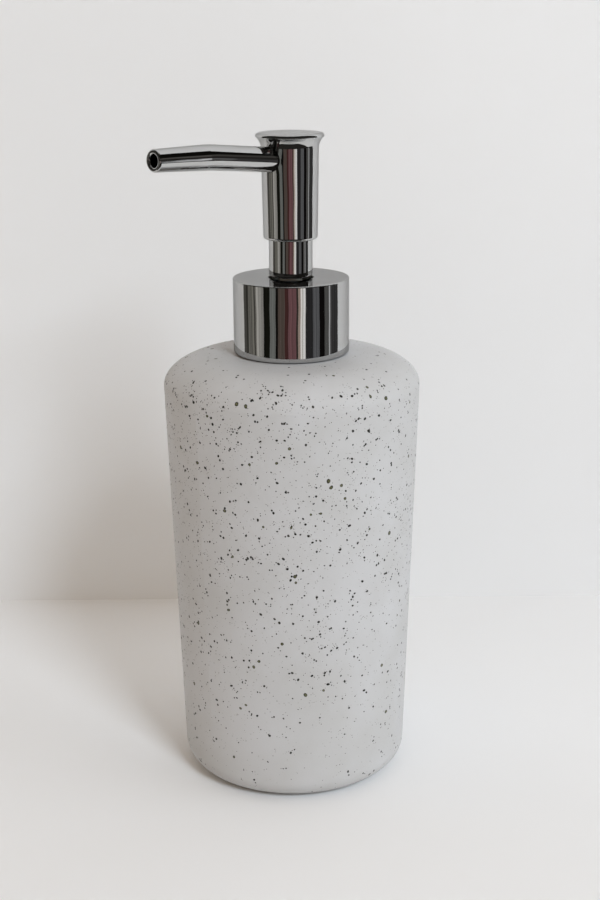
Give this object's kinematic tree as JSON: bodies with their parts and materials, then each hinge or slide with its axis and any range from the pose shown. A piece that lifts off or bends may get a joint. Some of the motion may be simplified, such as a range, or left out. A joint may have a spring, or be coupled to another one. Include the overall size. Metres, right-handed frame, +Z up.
{
  "type": "soap pump dispenser",
  "caption": "Round speckled ceramic bottle with a soft shoulder and a screw-on chrome pump: plain collar, slim press head with a flared rim and a long angled spout.",
  "frame": {"origin": "centre of the resting face, on the axis of the bottle", "axes": "+Z up along the bottle's axis; +X along the spout with the head at rest; +Y completes the right-hand frame"},
  "size_m": [0.0863, 0.0744, 0.1907],
  "materials": {
    "speckled_ceramic": "matte warm white with dark and olive speckles",
    "chrome": "mirror polished plating",
    "white_plastic": "moulded",
    "clear_plastic": "translucent tube",
    "soft_seal": "soft translucent seal",
    "foam_pad": "thin foam",
    "spring_steel": "drawn wire",
    "valve_glass": "smooth"
  },
  "bodies": {
    "bottle": {"bottle_body": "speckled_ceramic", "base_pad": "foam_pad", "neck_insert": "white_plastic"},
    "pump_unit": {"pump_housing": "white_plastic", "chaplet": "white_plastic", "neck_gasket": "soft_seal", "dip_tube": "clear_plastic", "ball_cage": "white_plastic", "return_spring": "spring_steel"},
    "closure": {"closure_cap": "white_plastic", "collar_shell": "chrome"},
    "plunger": {"pump_stem": "white_plastic", "stem_plug": "white_plastic"},
    "piston": {"piston": "soft_seal"},
    "head": {"head_core": "white_plastic", "head_shell": "chrome", "stem_sleeve": "chrome", "spout_tube": "chrome"},
    "inlet_ball": {"inlet_ball": "valve_glass"}
  },
  "joints": [
    {"name": "closure_unscrew", "type": "hinge", "parent": "pump_unit", "child": "closure", "pos_m": [0, 0, 0.135], "axis": [0, 0, 1], "range_deg": [0, 720]},
    {"name": "pump_rise", "type": "slide", "parent": "bottle", "child": "pump_unit", "axis": [0, 0, 1], "range_m": [0, 0.00847]},
    {"name": "pump_press", "type": "slide", "parent": "pump_unit", "child": "plunger", "axis": [0, 0, -1], "range_m": [0, 0.01], "stiffness_N_per_m": 400, "springref_m": -0.012, "deforming": ["return_spring"]},
    {"name": "head_swivel", "type": "hinge", "parent": "plunger", "child": "head", "pos_m": [0, 0, 0.166], "axis": [0, 0, 1], "continuous": true},
    {"name": "piston_slip", "type": "slide", "parent": "plunger", "child": "piston", "axis": [0, 0, 1], "range_m": [0, 0.0013]},
    {"name": "ball_lift", "type": "slide", "parent": "pump_unit", "child": "inlet_ball", "axis": [0, 0, 1], "range_m": [0, 0.0012]}
  ],
  "couplings": [
    {"joint": "pump_rise", "follows": "closure_unscrew", "m_per_rad": 0.0006737}
  ]
}
